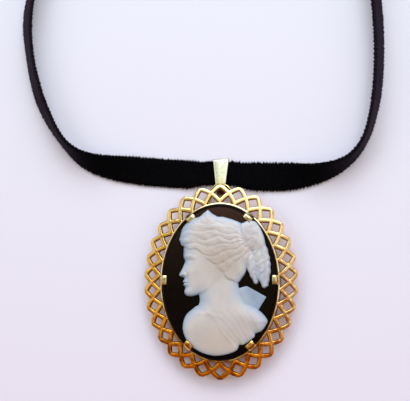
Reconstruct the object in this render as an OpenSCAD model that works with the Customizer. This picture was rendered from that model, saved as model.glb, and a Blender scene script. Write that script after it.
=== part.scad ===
// Cameo pendant on a velvet ribbon, lying on a table.
// Millimetres. +X is the wearer's left as seen from the front, +Y runs up to the bail
// and the ribbon, +Z comes out of the face. The back of the setting rests on z = 0,
// and the middle of the oval stone is x = 0, y = 0.

/* [Stone] */
// Width of the oval stone
stone_w = 30; // [26:0.5:34]
// Height of the oval stone
stone_h = 40; // [36:0.5:44]
// Thickness of the black layer
onyx_t = 2.75; // [2:0.05:3.5]
// Bevel round the black layer's upper edge
onyx_bevel = 0.7; // [0.3:0.05:1]

/* [Carving] */
// Width of the carved bust, from the tip of the nose to the ringlets
bust_w = 24; // [20:0.5:24]
// Height of the carved bust, from its foot to the point of the diadem
bust_h = 37.8; // [32:0.2:38]
// Greatest height of the carving above the black layer
bust_t = 2; // [1.2:0.1:3]
// How far the middle of the bust lies to the right of the stone's middle
bust_right = 1.5; // [0:0.1:1.6]

/* [Seat] */
// Wall of the collar that stands round the stone
collar_t = 0.4; // [0.3:0.05:0.6]
// Height of the ledge that the stone sits on, above the back
ledge_z = 2.4; // [2:0.1:3]
// Thickness of the ledge
ledge_t = 0.5; // [0.4:0.1:0.8]
// Width of the ledge under the stone
ledge_w = 1.1; // [0.8:0.1:2]
// How far the collar stays below the stone's bevel
collar_drop = 0.12; // [0.1:0.02:0.3]

/* [Border] */
// Pointed arches round the border
arches = 30; // [24:2:36]
// Reach of the border past the stone at its sides
side_reach = 4.9; // [4:0.1:5.5]
// Reach of the border past the stone at its top and bottom
end_reach = 5.05; // [4.5:0.05:6]
// How much further the border reaches on the right than midway
right_more = 0.15; // [0:0.05:0.5]
// How much further the border reaches at the top than midway
top_more = 0.15; // [0:0.05:0.3]
// Width of an arch's bar at its peak
bar_w = 0.8; // [0.7:0.02:1]
// Width of an arch's bar at its foot
bar_foot_w = 1.1; // [0.8:0.05:1.2]
// Thickness of the pierced plate
border_t = 0.75; // [0.6:0.05:0.8]
// Distance from the stone to where the arches' feet cross
foot_reach = 0.6; // [0.5:0.05:1.2]
// Width of the plain band that joins the feet to the collar
rim_w = 0.55; // [0.55:0.05:0.8]
// How far the border's top lies below the stone's face at the collar
border_low = 0.9; // [0.85:0.05:1.2]
// How far the border slopes down to its outer edge
border_fall = 0.8; // [0.4:0.05:0.85]

/* [Claws] */
// Claws that hold the stone
claws = 6; // [4:2:8]
// Width of a claw
claw_w = 2.4; // [1.4:0.1:2.6]
// Thickness of a claw
claw_t = 0.42; // [0.3:0.02:0.6]
// How far a claw reaches in over the stone
claw_reach = 1.4; // [0.9:0.1:1.6]
// How much nearer the top the claws sit than evenly spaced ones, in arches
claw_rise = 0.16; // [0:0.02:0.3]

/* [Hanging loop] */
// Outer radius of the half ring
loop_r = 3.1; // [2.6:0.1:3.6]
// Thickness of its wire
loop_wire = 0.65; // [0.5:0.05:0.8]
// How far its middle lies past the stone's top
loop_rise = 2.7; // [2.4:0.1:3]

/* [Bail] */
// Thickness of the bail's strap
bail_t = 0.35; // [0.3:0.05:0.45]
// Width of the bail at its top fold
bail_top_w = 4.15; // [3.5:0.05:5]
// Width of the bail where it meets the hanging loop
bail_loop_w = 2.6; // [2:0.1:3.2]
// Width of the bail at its bottom fold
bail_foot_w = 2.1; // [1.6:0.1:2.4]

/* [Ribbon] */
// Width of the velvet ribbon
ribbon_w = 7.6; // [6.5:0.1:9]
// Thickness of the ribbon with its pile
ribbon_t = 1; // [1:0.05:1.3]
// Share of its width that the bail gathers in
ribbon_gather = 0.14; // [0.05:0.01:0.3]
// How far the ribbon's middle passes beyond the middle of the hanging loop
ribbon_rise = 5.65; // [5:0.05:6]

/* [Clasp] */
// Length of the clasp's sleeve
clasp_l = 9; // [6:0.5:9]
// Wall of the sleeve
clasp_wall = 0.45; // [0.3:0.05:0.7]
// Corner radius of the sleeve
clasp_r = 0.6; // [0.2:0.1:0.8]

/* [Fits] */
// Gap between the stone and its metal
stone_fit = 0.08; // [0.04:0.02:0.15]
// Gap between the ribbon and the metal that it passes through
ribbon_fit = 0.1; // [0.05:0.05:0.2]
// Gap between the bail and the hanging loop
bail_fit = 0.1; // [0.05:0.05:0.2]
// Gap between the two ends of the ribbon inside the clasp
ends_gap = 0.6; // [0.4:0.2:2]

/* [Hidden] */
$fn = 48;

// Heights from the back of the setting up to the stone's face
stone_z = ledge_z + stone_fit;
face_z = stone_z + onyx_t;
bevel_z = face_z - onyx_bevel;
collar_z = bevel_z - collar_drop;
border_z = face_z - border_low;
joint_gap = 0.02;

// The ribbon lies on the bail's back leaf, and the loop's wire lies on the ribbon
ribbon_z = bail_t + ribbon_fit;
loop_z = ribbon_z + ribbon_t + bail_fit + loop_wire / 2;
loop_y = stone_h / 2 + loop_rise;
loop_top_y = loop_y + loop_r - loop_wire / 2;
ribbon_y = loop_y + ribbon_rise;

// A face of four corners as two triangles, and a solid through a row of closed sections
function two_triangles(a, b, c, d) = [[a, b, c], [a, c, d]];
module lofted(sections) {
    n = len(sections[0]);
    last = (len(sections) - 1) * n;
    polyhedron([for (s = sections) each s], concat(
        [for (here = [0 : n : last - n], k = [0 : n - 1]) let (j = (k + 1) % n)
            each two_triangles(here + k, here + n + k, here + n + j, here + j)],
        [[for (k = [0 : n - 1]) k], [for (k = [n - 1 : -1 : 0]) last + k]]));
}

// The oval: even steps along the stone's edge, counted clockwise from its top
oval_sides = 2 * arches;
function oval(a) = [stone_w / 2 * sin(a), stone_h / 2 * cos(a)];
function normal(a) = let (n = [sin(a) * stone_h, cos(a) * stone_w]) n / norm(n);
// Columns: length along the edge up to an angle, the angle
arc_table = [for (a = 0, s = 0; a <= 360; s = s + norm(oval(a + 1) - oval(a)), a = a + 1) [s, a]];
edge_l = arc_table[len(arc_table) - 1][0];
function wrapped(u) = u < 0 ? u + arches : u > arches ? u - arches : u;
function angle_at(u) = lookup(wrapped(u) / arches * edge_l, arc_table);
function beside(u, r) = let (a = angle_at(u)) oval(a) + r * normal(a);
function ring(r) = [for (i = [0 : oval_sides - 1]) beside(i * arches / oval_sides, r)];

// One arch leg: its middle line drops from the peak at v = 0 to the foot at v = 1
leg_curve = 1.15;
peak_round = 0.09;
function reach(u) = let (n = normal(angle_at(u)))
    end_reach * n[1] * n[1] + side_reach * n[0] * n[0] + right_more * n[0] + top_more * n[1];
function pitch(u) = (edge_l + PI * reach(u)) / arches;
function half_bar(u, v) = let (
    w = bar_w + (bar_foot_w - bar_w) * v,
    bend = v / sqrt(v * v + peak_round * peak_round),
    slope = (reach(u) - foot_reach) / pitch(u))
    w / 2 * sqrt(1 + pow(slope * bend, 2));
function leg(u, v) = let (
    peak = reach(u) - half_bar(u, 0),
    w = sqrt(v * v + peak_round * peak_round) - peak_round)
    peak - (peak - foot_reach) * pow(w, leg_curve);

// Outlines of the pierced border, an arch at a time
hole_steps = 4;
function diamond_half(u, lo = 0, hi = 0.5, n = 12) = n == 0 ? lo :
    let (v = (lo + hi) / 2, open = leg(u, v) - leg(u, 1 - v) > half_bar(u, v) + half_bar(u, 1 - v))
    diamond_half(u, open ? v : lo, open ? hi : v, n - 1);
function foot_half(u, lo = 0, hi = 0.5, n = 12) = n == 0 ? lo :
    let (v = (lo + hi) / 2, open = leg(u, 0.5 + v) - half_bar(u, 0.5 + v) > rim_w)
    foot_half(u, open ? v : lo, open ? hi : v, n - 1);
function peaks() = [for (i = [0 : arches - 1], k = [-hole_steps : hole_steps - 1])
    let (w = k / hole_steps / 2) beside(i + w, leg(i, abs(w)) + half_bar(i, abs(w)))];
function diamond(i) = let (half = diamond_half(i)) concat(
    [for (k = [-hole_steps : hole_steps]) let (w = half * k / hole_steps)
        beside(i + w, leg(i, abs(w)) - half_bar(i, abs(w)))],
    [for (k = [hole_steps - 1 : -1 : 1 - hole_steps]) let (w = half * k / hole_steps)
        beside(i + w, leg(i, 1 - abs(w)) + half_bar(i, 1 - abs(w)))]);
function foot_hole(i) = let (u = i + 0.5, half = foot_half(u)) concat(
    [for (k = [-hole_steps : hole_steps]) let (w = half * k / hole_steps)
        beside(u + w, leg(u, 0.5 + abs(w)) - half_bar(u, 0.5 + abs(w)))],
    [for (k = [hole_steps - 1 : -1 : 1 - hole_steps]) beside(u + half * k / hole_steps, rim_w)]);

// The setting before it is pierced: one cross-section carried round the stone
far_reach = max(end_reach + top_more, side_reach + right_more) + 0.3;
collar_out = stone_fit + collar_t;
function border_top(r) = border_z - border_fall * pow(r / end_reach, 1.3);
// Columns: distance outward from the stone's edge, height
setting_corners = [
    [stone_fit, 0], [stone_fit, ledge_z - ledge_t], [-ledge_w, ledge_z - ledge_t], [-ledge_w, ledge_z],
    [stone_fit, ledge_z], [stone_fit, collar_z], [collar_out, collar_z], [collar_out, border_top(collar_out)],
    [far_reach, border_top(far_reach)], [far_reach, border_top(far_reach) - border_t],
    [collar_out, border_top(collar_out) - border_t], [collar_out, 0]];

module oval_plate(r, z, h) translate([0, 0, z]) linear_extrude(h) polygon(ring(r));

// A collar with a ledge for the stone, and the border's sloping plate cut through
module pierced_setting() intersection() {
    n = len(setting_corners);
    polyhedron(
        [for (c = setting_corners, p = ring(c[0])) [p[0], p[1], c[1]]],
        [for (row = [0 : n - 1], i = [0 : oval_sides - 1])
            let (j = (i + 1) % oval_sides, here = row * oval_sides, next = (row + 1) % n * oval_sides)
            each two_triangles(here + j, here + i, next + i, next + j)]);
    translate([0, 0, -1]) linear_extrude(face_z) difference() {
        polygon(peaks());
        for (i = [0 : arches - 1]) {
            polygon(diamond(i));
            polygon(foot_hole(i));
        }
    }
}

// A claw's place round the oval, in arches clockwise from its top
function claw_place(i) = let (even = (i + 0.5) * arches / claws, a = angle_at(even))
    even - claw_rise * sin(a) * (1 + cos(a));

// Puts its children at a claw: +X outward, +Y along the edge, from the stone's edge
module at_claw(i) {
    a = angle_at(claw_place(i));
    outward = normal(a);
    translate([oval(a)[0], oval(a)[1], 0]) rotate([0, 0, atan2(outward[1], outward[0])]) children();
}

// A claw stands in the collar's wall, follows the bevel and lies on the stone's face
module claw(i) {
    root = stone_fit + joint_gap * 2;
    root_z = border_z - border_t / 2;
    in_z = face_z + stone_fit;
    profile = [
        [root, root_z], [root, bevel_z + root / 2], [-onyx_bevel + root / 2, in_z],
        [-claw_reach, in_z], [-claw_reach, in_z + claw_t], [-onyx_bevel + claw_t / 2, in_z + claw_t],
        [root + claw_t, bevel_z + root / 2 + claw_t / 2], [root + claw_t, root_z]];
    at_claw(i) rotate([90, 0, 0]) linear_extrude(claw_w, center = true) polygon(profile);
}

// The place that the carving leaves free under and round a claw
module claw_room(i) at_claw(i) translate([-claw_reach - stone_fit, -claw_w / 2 - stone_fit, face_z])
    cube([claw_reach + stone_fit, claw_w + 2 * stone_fit, bust_t + claw_t]);

module hanging_loop() {
    mid_r = loop_r - loop_wire / 2;
    leg_foot = stone_h / 2 * sqrt(1 - pow(2 * mid_r / stone_w, 2)) + stone_fit;
    translate([0, loop_y, loop_z]) {
        rotate_extrude(angle = 180) translate([mid_r, 0]) circle(d = loop_wire);
        for (side = [-1, 1]) translate([side * mid_r, 0, 0]) rotate([90, 0, 0])
            cylinder(d = loop_wire, h = loop_y - leg_foot);
    }
}

module setting() color("gold") {
    pierced_setting();
    for (i = [0 : claws - 1]) claw(i);
    hanging_loop();
}

module onyx_base() color([0.05, 0.04, 0.04]) hull() {
    oval_plate(0, stone_z, bevel_z - stone_z);
    oval_plate(-onyx_bevel, stone_z, face_z - stone_z);
}

// Carved masses, each a row of domed sections.
// up: place along the bust, from -1 at its foot to 1 at the diadem's point
// left, right: edges of the section, from -1 to 1 across the bust
// depth: share of the carving's full height
// Columns: up, left, right, depth
head_rows = [
    [-0.19, -0.70, -0.38, 0.42], [-0.165, -0.84, -0.25, 0.54], [-0.12, -0.875, -0.08, 0.64],
    [-0.075, -0.855, 0.08, 0.72], [-0.05, -0.845, 0.18, 0.74], [-0.025, -0.89, 0.26, 0.76],
    [0.005, -0.865, 0.32, 0.77], [0.03, -0.90, 0.36, 0.78], [0.06, -0.875, 0.39, 0.80],
    [0.085, -0.975, 0.42, 0.82], [0.11, -0.995, 0.43, 0.84], [0.18, -0.935, 0.45, 0.86],
    [0.26, -0.885, 0.46, 0.87], [0.30, -0.86, 0.46, 0.87], [0.34, -0.885, 0.46, 0.88],
    [0.44, -0.885, 0.46, 0.88], [0.54, -0.85, 0.46, 0.88], [0.66, -0.74, 0.4, 0.82], [0.8, -0.5, 0.2, 0.62]];
hair_rows = [
    [0.02, -0.08, 0.40, 0.72], [0.10, -0.26, 0.50, 0.84], [0.18, -0.42, 0.58, 0.92],
    [0.29, -0.60, 0.66, 0.97], [0.42, -0.76, 0.72, 1], [0.50, -0.90, 0.74, 1], [0.56, -0.96, 0.74, 1],
    [0.64, -0.96, 0.73, 0.98], [0.72, -0.93, 0.66, 0.90], [0.80, -0.83, 0.43, 0.78],
    [0.88, -0.70, 0.18, 0.60], [0.93, -0.56, -0.08, 0.42]];
diadem_rows = [
    [0.70, -0.72, 0.02, 0.94], [0.80, -0.66, -0.04, 0.84], [0.88, -0.55, -0.14, 0.70],
    [0.94, -0.46, -0.24, 0.56], [1, -0.37, -0.33, 0.36]];
bun_rows = [
    [0.45, 0.34, 0.86, 0.82], [0.54, 0.30, 0.87, 0.92], [0.64, 0.29, 0.86, 0.94],
    [0.73, 0.32, 0.79, 0.84], [0.79, 0.40, 0.71, 0.64], [0.83, 0.50, 0.62, 0.36]];
ringlet_rows = [
    [-0.065, 0.81, 0.92, 0.24], [-0.02, 0.72, 0.96, 0.46], [0.06, 0.56, 0.99, 0.60],
    [0.14, 0.50, 0.98, 0.66], [0.24, 0.46, 0.99, 0.72], [0.36, 0.40, 0.96, 0.78], [0.54, 0.36, 0.88, 0.82]];
neck_rows = [
    [-0.56, -0.62, 0.60, 0.84], [-0.42, -0.57, 0.50, 0.74], [-0.30, -0.55, 0.40, 0.68],
    [-0.18, -0.545, 0.33, 0.66], [-0.06, -0.52, 0.29, 0.66], [0.06, -0.46, 0.34, 0.66]];
chest_rows = [
    [-1, -0.26, 0.06, 0.26], [-0.95, -0.49, 0.24, 0.54], [-0.85, -0.74, 0.34, 0.80],
    [-0.72, -0.88, 0.66, 0.94], [-0.60, -0.93, 0.84, 0.98], [-0.53, -0.91, 0.88, 0.98],
    [-0.45, -0.86, 0.82, 0.94], [-0.35, -0.74, 0.66, 0.82], [-0.25, -0.60, 0.48, 0.62]];
// Corners of the thin scarf behind the neck. Columns: left to right, up
scarf_corners = [[0.20, -0.42], [0.26, 0.02], [0.39, -0.065], [0.885, -0.20], [0.71, -0.39], [0.6, -0.46]];
scarf_depth = 0.22;

dome_steps = 8;
dome_fullness = 0.7;
function dome_row(row) = let (
    middle = bust_w / 4 * (row[1] + row[2]),
    half = bust_w / 4 * (row[2] - row[1]))
    [for (k = [0 : dome_steps]) let (a = 180 * k / dome_steps) [
        middle - half * cos(a),
        bust_h / 2 * row[0],
        bust_t * row[3] * pow(max(sin(a), 0), dome_fullness)]];
module carved(rows) lofted([for (row = rows) dome_row(row)]);

module cameo_relief() color("aliceblue") difference() {
    translate([bust_right, 0, face_z + joint_gap]) union() {
        for (rows = [head_rows, hair_rows, diadem_rows, bun_rows, ringlet_rows, neck_rows, chest_rows])
            carved(rows);
        linear_extrude(bust_t * scarf_depth)
            polygon([for (c = scarf_corners) [bust_w / 2 * c[0], bust_h / 2 * c[1]]]);
    }
    for (i = [0 : claws - 1]) claw_room(i);
}

// The ribbon's way round, as laid on the table: flat behind the bail, then turning on edge.
// The middle of the clasp: to the right of the stone's middle, and beyond the bail
clasp_x = -4.9;
clasp_up = 103.9;
// The turn at the clasp, the same on both sides.
// Columns: away from the clasp's middle, short of it, roll from flat to on edge
far_turn = [
    [ends_gap / 2, 0, 90], [clasp_l / 2 + 0.2, 0, 90], [8.1, 0.2, 90], [15.6, 2.8, 89],
    [24.1, 8.3, 87], [32.1, 16.6, 84], [38, 27, 80]];
// The seen part, from left to right. Columns: to the right, beyond the ribbon's middle in the bail, roll
near_way = [
    [-47.4, 63.6, 70], [-49.5, 52.1, 62], [-51.3, 41.6, 60], [-50.5, 31.1, 64], [-48.3, 21.6, 62],
    [-45.8, 15.6, 65], [-43.3, 11.2, 71], [-40.6, 7.6, 72], [-37.3, 4.7, 62], [-33.6, 2.9, 50],
    [-29, 1.8, 36], [-24, 1.2, 20], [-17.5, 0.5, 6], [-9, -0.1, 0], [-4, 0, 0], [0, 0, 0],
    [2.4, 0, 0], [4.8, -0.35, 0], [8, -0.85, 0], [14, -1.1, 6], [18.5, -1.1, 22], [22.5, -0.9, 42],
    [26.5, -0.2, 55], [30.5, 1.2, 69], [34, 3.5, 79], [36.8, 7.1, 83], [38.8, 12, 81], [40.5, 20.6, 76],
    [41.1, 31.6, 74], [40.6, 42.6, 72], [39.3, 53.1, 74], [37.2, 64.1, 79]];
route = concat(
    [for (t = far_turn) [clasp_x - t[0], clasp_up - t[1], t[2]]],
    near_way,
    [for (i = [len(far_turn) - 1 : -1 : 0]) let (t = far_turn[i]) [clasp_x + t[0], clasp_up - t[1], t[2]]]);
gathered_w = ribbon_w * (1 - ribbon_gather);
gather_span = 9;
level_run = bail_top_w / 2 + 2.5;
lift_span = 15;

// 1 out to flat, then easing to 0 at span
function ease(d, flat, span) = let (share = min(max((d - flat) / (span - flat), 0), 1))
    (1 + cos(180 * share)) / 2;
function at_front(p) = p[1] < clasp_up / 2;
function lift(p) = at_front(p) ? ribbon_z * ease(abs(p[0]), level_run, lift_span)
    : (clasp_wall + ribbon_fit) * ease(abs(p[0] - clasp_x), clasp_l / 2, lift_span);
function gather(p) = at_front(p) ? ribbon_gather * ease(abs(p[0]), level_run, gather_span) : 0;

// A smooth line through the route's points, two rings to a step
rings_per_step = 2;
function smooth(a, b, c, d, s) = (2 * b + (c - a) * s + (2 * a - 5 * b + 4 * c - d) * s * s
    + (3 * b - a - 3 * c + d) * s * s * s) / 2;
route_last = len(route) - 1;
line = concat([for (i = [0 : route_last - 1], k = [0 : rings_per_step - 1])
    smooth(route[max(i - 1, 0)], route[i], route[i + 1], route[min(i + 2, route_last)], k / rings_per_step)],
    [route[route_last]]);
line_last = len(line) - 1;

// The ribbon's section: a strip with its corners taken off
edge_cut = 0.2;
function strip(w, t) = let (c = edge_cut) [
    [w, t - c], [w - c, t], [c - w, t], [-w, t - c], [-w, c - t], [c - w, -t], [w - c, -t], [w, c - t]];
function ribbon_ring(i) = let (
    p = line[i],
    step = line[min(i + 1, line_last)] - line[max(i - 1, 0)],
    run = [step[0], step[1], 0] / norm([step[0], step[1]]),
    inward = [-run[1], run[0], 0],
    across = cos(p[2]) * inward + sin(p[2]) * [0, 0, 1],
    out = cos(p[2]) * [0, 0, 1] - sin(p[2]) * inward,
    half_w = ribbon_w * (1 - gather(p)) / 2,
    half_t = ribbon_t / 2,
    middle = [p[0], ribbon_y + p[1], lift(p) + half_w * sin(p[2]) + half_t * cos(p[2])])
    [for (c = strip(half_w, half_t)) middle + across * c[0] + out * c[1]];

module ribbon() color([0.06, 0.05, 0.07]) lofted([for (i = [0 : line_last]) ribbon_ring(i)]);

// The bail seen from its side: a strap folded round the ribbon and the loop's wire
fold_r = bail_t + 0.25;
crown_r = bail_t + 0.15;
crown_run = 0.6;
bail_foot_y = loop_y;
bail_top_y = ribbon_y + gathered_w / 2 + ribbon_fit + bail_t;
bail_high_z = loop_z + loop_wire / 2 + bail_fit + bail_t;
// Columns: along the bail, height, radius of the strap's outer bend
bail_bends = [
    [bail_foot_y + fold_r, fold_r, fold_r], [bail_foot_y + fold_r, 2 * fold_r, fold_r],
    [loop_top_y - crown_run, bail_high_z - crown_r, crown_r], [loop_top_y, bail_high_z - crown_r, crown_r],
    [bail_top_y - fold_r, ribbon_z + ribbon_t + ribbon_fit + bail_t - fold_r, fold_r],
    [bail_top_y - fold_r, fold_r, fold_r]];
module bail_section(inset) hull() for (b = bail_bends) translate([b[0], b[1]]) circle(r = b[2] - inset);

module bail() color("palegoldenrod") intersection() {
    rotate([90, 0, 90]) linear_extrude(bail_top_w, center = true) difference() {
        bail_section(0);
        bail_section(bail_t);
    }
    translate([0, 0, -1]) linear_extrude(bail_high_z + 2) polygon([
        [-bail_foot_w / 2, bail_foot_y], [bail_foot_w / 2, bail_foot_y], [bail_loop_w / 2, loop_top_y],
        [bail_top_w / 2, bail_top_y], [-bail_top_w / 2, bail_top_y], [-bail_loop_w / 2, loop_top_y]]);
}

// A plain sleeve, standing on its edge, that takes both ends of the ribbon
module clasp() color("gold") {
    slot_w = ribbon_w + 2 * ribbon_fit;
    slot_t = ribbon_t + 2 * ribbon_fit;
    sleeve_w = slot_w + 2 * clasp_wall;
    sleeve_t = slot_t + 2 * clasp_wall;
    translate([clasp_x, ribbon_y + clasp_up, sleeve_w / 2]) rotate([0, 90, 0])
        linear_extrude(clasp_l, center = true) difference() {
            hull() for (x = [-1, 1], y = [-1, 1])
                translate([x * (sleeve_w / 2 - clasp_r), y * (sleeve_t / 2 - clasp_r)]) circle(clasp_r);
            square([slot_w, slot_t], center = true);
        }
}

setting();
onyx_base();
cameo_relief();
bail();
ribbon();
clasp();
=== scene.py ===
"""Cameo pendant on a velvet ribbon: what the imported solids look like.

Sizes are in millimetres until a mesh is made, and the shapes follow the same named values as the solids.
"""
import math

import bpy
import numpy as np
from numpy.linalg import norm
from mathutils import Matrix, Vector, noise
from mathutils.geometry import tessellate_polygon
from mathutils.kdtree import KDTree


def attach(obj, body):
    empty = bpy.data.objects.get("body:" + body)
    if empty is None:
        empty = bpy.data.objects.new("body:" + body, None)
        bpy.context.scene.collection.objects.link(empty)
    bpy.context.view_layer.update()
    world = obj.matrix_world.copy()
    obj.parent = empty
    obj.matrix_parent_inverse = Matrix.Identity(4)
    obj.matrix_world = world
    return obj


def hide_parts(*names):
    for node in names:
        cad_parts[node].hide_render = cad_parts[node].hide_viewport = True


MM = 0.001
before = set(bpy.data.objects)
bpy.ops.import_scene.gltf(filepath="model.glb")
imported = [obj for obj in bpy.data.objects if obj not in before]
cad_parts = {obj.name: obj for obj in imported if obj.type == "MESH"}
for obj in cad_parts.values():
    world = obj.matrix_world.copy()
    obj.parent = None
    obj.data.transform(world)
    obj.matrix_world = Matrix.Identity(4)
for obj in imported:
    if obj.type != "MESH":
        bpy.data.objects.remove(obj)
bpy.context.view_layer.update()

# Sizes shared with the solids
STONE_W, STONE_H = 30.0, 40.0
FACE_Z, BEVEL_Z, STONE_Z, COLLAR_Z = 5.23, 4.53, 2.48, 4.41
BEVEL = 0.7
BORDER_Z, BORDER_T, BORDER_FALL = 4.33, 0.75, 0.8
ARCHES = 30
SIDE_REACH, END_REACH, RIGHT_MORE, TOP_MORE = 4.9, 5.05, 0.15, 0.15
BAR_W, BAR_FOOT_W, FOOT_REACH, RIM_W = 0.8, 1.1, 0.6, 0.55
STONE_FIT, COLLAR_T, LEDGE_Z, LEDGE_T, LEDGE_W = 0.08, 0.4, 2.4, 0.5, 1.1
CLAWS, CLAW_W, CLAW_T, CLAW_REACH, CLAW_RISE = 6, 2.4, 0.42, 1.4, 0.16
LOOP_R, LOOP_WIRE, LOOP_Y, LOOP_Z = 3.1, 0.65, 22.7, 1.875
RIBBON_W, RIBBON_T, RIBBON_Y, RIBBON_Z = 7.6, 1.0, 28.35, 0.45
CLASP_X, CLASP_UP, CLASP_L, CLASP_WALL, RIBBON_FIT = -4.9, 103.9, 9.0, 0.45, 0.1


# Meshes

def add_object(name, data):
    obj = bpy.data.objects.new(name, data)
    bpy.context.scene.collection.objects.link(obj)
    return obj


def make_object(name, verts, faces, material, slot, nodes, sharp=38):
    """A mesh object from points in millimetres, shaded smooth up to an angle, that stands for some CAD nodes."""
    mesh = bpy.data.meshes.new(name)
    mesh.from_pydata([tuple(v) for v in np.asarray(verts) * MM], [], [tuple(int(k) for k in f) for f in faces])
    mesh.validate()
    mesh.polygons.foreach_set("use_smooth", [True] * len(mesh.polygons))
    mesh.set_sharp_from_angle(angle=math.radians(sharp))
    mesh.materials.append(material)
    obj = add_object(name, mesh)
    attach(obj, "root")
    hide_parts(*nodes)
    return obj


def joined(parts):
    """Several (verts, faces) as one."""
    verts, faces, start = [], [], 0
    for v, f in parts:
        verts.append(np.asarray(v, float))
        faces += [[k + start for k in face] for face in f]
        start += len(v)
    return np.concatenate(verts), faces


def welded(verts, faces, grain=1e-4):
    """Joins points that lie on each other, and drops the faces that this closes up."""
    keys, place = np.unique(np.round(np.asarray(verts) / grain).astype(np.int64), axis=0, return_inverse=True)
    place = place.reshape(-1)
    kept = np.zeros((len(keys), 3))
    kept[place] = verts
    out = []
    for face in faces:
        ring = [int(place[k]) for k in face]
        ring = [k for i, k in enumerate(ring) if k != ring[i - 1]]
        if len(set(ring)) > 2:
            out.append(ring)
    return kept, out


def loft(sections, ring=False):
    """A closed surface through a row of sections with the same number of points; ring joins the last to the first."""
    sections = np.asarray(sections, float)
    rows, n, _ = sections.shape
    faces = []
    for i in range(rows if ring else rows - 1):
        a, b = i * n, (i + 1) % rows * n
        faces += [[a + k, b + k, b + (k + 1) % n, a + (k + 1) % n] for k in range(n)]
    if not ring:
        faces += [list(range(n)), list(range(rows * n - 1, (rows - 1) * n - 1, -1))]
    return sections.reshape(-1, 3), faces


def smooth_line(points, steps, closed=False):
    """A Catmull-Rom line through the points."""
    p = np.asarray(points, float)
    n, out = len(p), []
    for i in range(n if closed else n - 1):
        if closed:
            a, b, c, d = p[i - 1], p[i], p[(i + 1) % n], p[(i + 2) % n]
        else:
            a, b, c, d = p[max(i - 1, 0)], p[i], p[i + 1], p[min(i + 2, n - 1)]
        for s in np.arange(steps) / steps:
            out.append((2 * b + (c - a) * s + (2 * a - 5 * b + 4 * c - d) * s * s
                        + (3 * b - a - 3 * c + d) * s ** 3) / 2)
    if not closed:
        out.append(p[-1])
    return np.array(out)


def lengths(points):
    """Length along a line up to each of its points."""
    return np.concatenate([[0], np.cumsum(norm(np.diff(points, axis=0), axis=1))])


def direction(points, k):
    run = points[min(k + 1, len(points) - 1)] - points[max(k - 1, 0)]
    return run / norm(run)


def rounded_box(w, t, r, steps=4):
    """Corner points of a w by t rectangle with rounded corners, round its middle."""
    out = []
    for k, (sx, sy) in enumerate([(1, 1), (-1, 1), (-1, -1), (1, -1)]):
        for s in range(steps + 1):
            a = math.radians(90 * (k + s / steps))
            out.append((sx * (w / 2 - r) + r * math.cos(a), sy * (t / 2 - r) + r * math.sin(a)))
    return np.array(out)


# The oval that the stone and the border follow

def oval(a):
    return np.array([STONE_W / 2 * np.sin(a), STONE_H / 2 * np.cos(a)])


def outward(a):
    n = np.array([np.sin(a) * STONE_H, np.cos(a) * STONE_W])
    return n / norm(n, axis=0)


ARC_A = np.linspace(0, 2 * math.pi, 3601)
ARC_S = lengths(oval(ARC_A).T)
EDGE_L = ARC_S[-1]


def angle_at(u):
    return np.interp(np.mod(u, ARCHES) / ARCHES * EDGE_L, ARC_S, ARC_A)


def beside(u, r):
    a = angle_at(u)
    return oval(a) + r * outward(a)


def swept(profile, sides=240, closed=True):
    """Carries a profile of (distance outward, height) round the oval."""
    a = np.linspace(0, 2 * math.pi, sides, endpoint=False)
    base, out = oval(a), outward(a)
    sections = [[(*(base[:, i] + r * out[:, i]), z) for r, z in profile] for i in range(sides)]
    return loft(sections, ring=True) if closed else sections


# Materials

def new_material(name, **sockets):
    material = bpy.data.materials.new(name)
    material.use_nodes = True
    shader = material.node_tree.nodes["Principled BSDF"]
    for key, value in sockets.items():
        shader.inputs[key.replace("_", " ").title().replace("Ior", "IOR")].default_value = value
    return material, material.node_tree, shader


def plug(shader, source, name="Base Color"):
    shader.id_data.links.new(source, shader.inputs[name])


def ramp(tree, source, stops):
    node = tree.nodes.new("ShaderNodeValToRGB")
    elements = node.color_ramp.elements
    elements.remove(elements[-1])
    elements[0].position, elements[0].color = stops[0][0], (*stops[0][1], 1)
    for place, colour in stops[1:]:
        elements.new(place).color = (*colour, 1)
    tree.links.new(source, node.inputs["Fac"])
    return node.outputs["Color"]


def add_node(tree, kind, inputs, **settings):
    """The outputs of a new node whose inputs are given as sockets or values."""
    node = tree.nodes.new("ShaderNode" + kind)
    for key, value in settings.items():
        setattr(node, key, value)
    for key, value in inputs.items():
        if isinstance(value, bpy.types.NodeSocket):
            tree.links.new(value, node.inputs[key])
        else:
            node.inputs[key].default_value = value
    return node.outputs


def mixed(tree, a, b, factor=1.0, blend="MULTIPLY"):
    return add_node(tree, "Mix", {"Factor": factor, "A": a, "B": b}, data_type="RGBA", blend_type=blend)["Result"]


def arithmetic(tree, operation, *values):
    return add_node(tree, "Math", dict(enumerate(values)), operation=operation)[0]


def place_on(tree, what="Object"):
    return tree.nodes.new("ShaderNodeTexCoord").outputs[what]


def noise_on(tree, scale, detail=3.0, what="Object"):
    return add_node(tree, "TexNoise", {"Scale": scale, "Detail": detail, "Vector": place_on(tree, what)})["Fac"]


def add_bump(tree, shader, height, strength, distance):
    bump = add_node(tree, "Bump", {"Strength": strength, "Distance": distance, "Height": height})
    plug(shader, bump["Normal"], "Normal")


def mapped(tree, source, low, high, to_low=0.0, to_high=1.0):
    return add_node(tree, "MapRange", {"From Min": low, "From Max": high, "To Min": to_low, "To Max": to_high,
                                       "Value": source})["Result"]


def axis_of(tree, axis, what="Object"):
    return add_node(tree, "SeparateXYZ", {0: place_on(tree, what)})[axis]


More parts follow.
